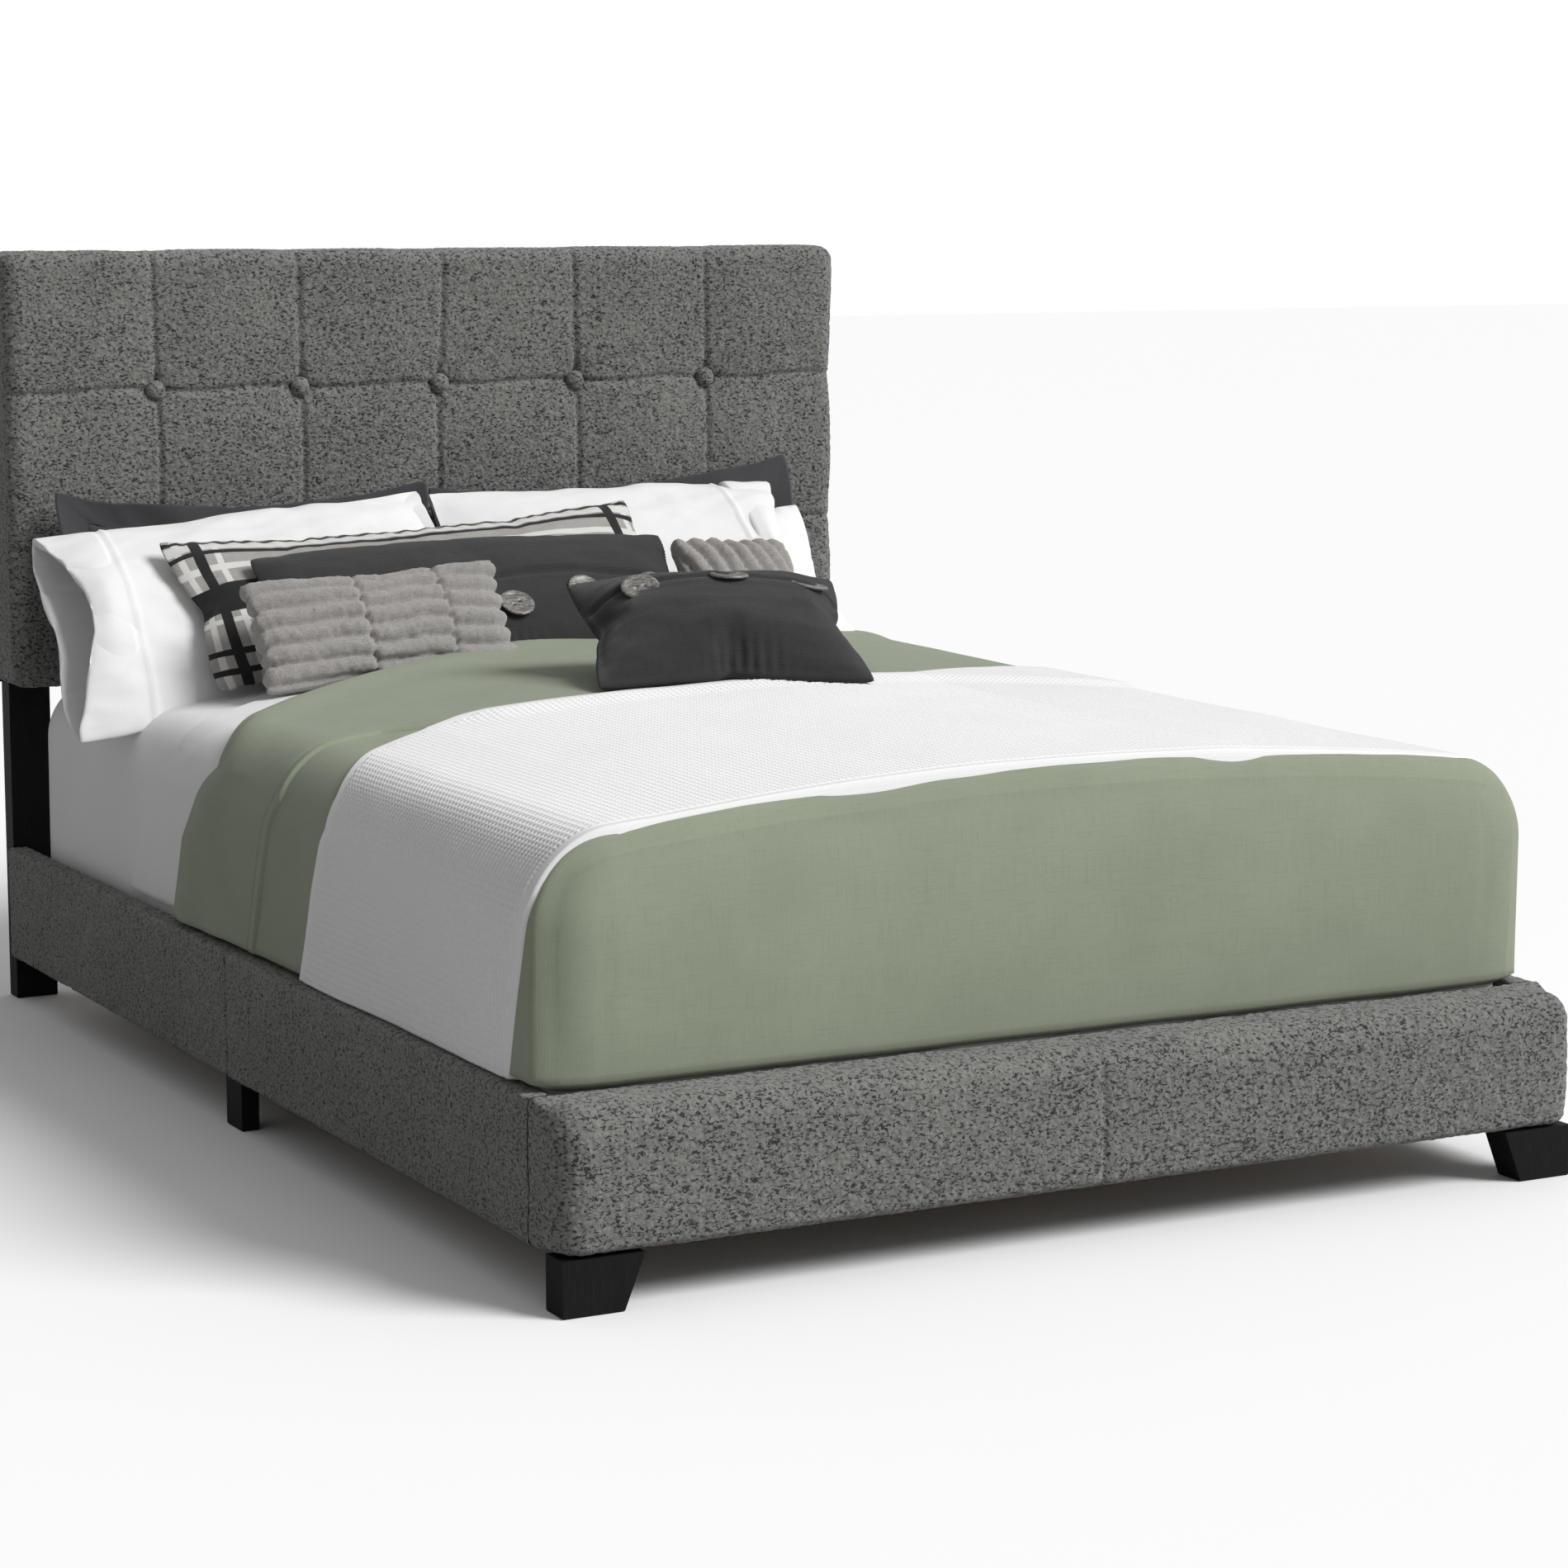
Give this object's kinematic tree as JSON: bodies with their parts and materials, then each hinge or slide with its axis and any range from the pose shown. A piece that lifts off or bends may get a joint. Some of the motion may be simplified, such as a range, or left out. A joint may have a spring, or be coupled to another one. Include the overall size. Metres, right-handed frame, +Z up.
{
  "type": "upholstered headboard bed",
  "caption": "Full-size platform bed with a button-tufted boucle headboard, boucle rails and footboard on black wood legs, made up with mattress, bedding and cushions.",
  "frame": {"origin": "on the floor, midway across the bed and midway between the footboard's front and the headboard's back", "axes": "+X across the bed, +Y from the foot to the headboard, +Z up"},
  "size_m": [1.45, 2.11, 1.175],
  "materials": {
    "black_wood": "satin black stain",
    "pine": "planed, unfinished",
    "plywood": "sanded",
    "foam": "open cell foam",
    "boucle": "looped wool-like boucle",
    "dust_cloth": "non-woven",
    "zinc_steel": "zinc plated",
    "black_plastic": "moulded",
    "white_cotton": "percale",
    "sage_linen": "slubbed linen",
    "white_waffle": "waffle weave",
    "charcoal_sateen": "sateen",
    "plaid_linen": "woven linen with black and white bands",
    "black_linen": "ribbed linen",
    "grey_fur": "channelled faux fur",
    "coconut": "polished grey coconut shell"
  },
  "bodies": {
    "bed_frame": {"beam_hangers": "zinc_steel", "bracket_bolts": "zinc_steel", "centre_beam": "pine", "centre_leg_foot": "black_wood", "centre_leg_head": "black_wood", "foot_leg_left": "black_wood", "foot_leg_right": "black_wood", "footboard_back_board": "plywood", "footboard_blocks": "pine", "footboard_cover": "boucle", "footboard_foam": "foam", "footboard_front_board": "plywood", "head_post_left": "black_wood", "head_post_right": "black_wood", "head_stretcher": "pine", "headboard_back_cloth": "dust_cloth", "headboard_buttons": "boucle", "headboard_cover": "boucle", "headboard_foam": "foam", "headboard_panel": "plywood", "headboard_rails": "pine", "ledger_screws": "zinc_steel", "leg_studs": "zinc_steel", "mid_leg_left": "black_wood", "mid_leg_right": "black_wood", "rail_brackets": "zinc_steel", "side_rail_board_left": "pine", "side_rail_board_right": "pine", "side_rail_cover_left": "boucle", "side_rail_cover_right": "boucle", "slat_1": "pine", "slat_2": "pine", "slat_3": "pine", "slat_4": "pine", "slat_5": "pine", "slat_6": "pine", "slat_7": "pine", "slat_8": "pine", "slat_ledger_left": "pine", "slat_ledger_right": "pine", "slat_screws": "zinc_steel"},
    "made_mattress": {"mattress": "white_cotton", "top_sheet": "white_cotton", "comforter": "sage_linen", "blanket": "white_waffle", "sham_left": "charcoal_sateen", "sham_right": "charcoal_sateen", "pillow_left": "white_cotton", "pillow_right": "white_cotton", "pillow_low_right": "white_cotton", "plaid_cushion": "plaid_linen", "button_cushion_back": "black_linen", "toggle_buttons_back": "coconut", "fur_cushion_left": "grey_fur", "fur_cushion_right": "grey_fur"},
    "front_cushion": {"button_cushion_front": "black_linen", "toggle_buttons_front": "coconut"},
    "foot_leveller": {"leveller_foot": "black_plastic"},
    "head_leveller": {"leveller_head": "black_plastic"}
  },
  "joints": [
    {"name": "mattress_lift", "type": "slide", "parent": "bed_frame", "child": "made_mattress", "axis": [0, 0, 1], "range_m": [0, 0.6]},
    {"name": "front_cushion_lift", "type": "slide", "parent": "made_mattress", "child": "front_cushion", "axis": [0, 0, 1], "range_m": [0, 0.3]},
    {"name": "foot_leveller_screw", "type": "slide", "parent": "bed_frame", "child": "foot_leveller", "axis": [0, 0, 1], "range_m": [0, 0.005]},
    {"name": "head_leveller_screw", "type": "slide", "parent": "bed_frame", "child": "head_leveller", "axis": [0, 0, 1], "range_m": [0, 0.005]}
  ]
}
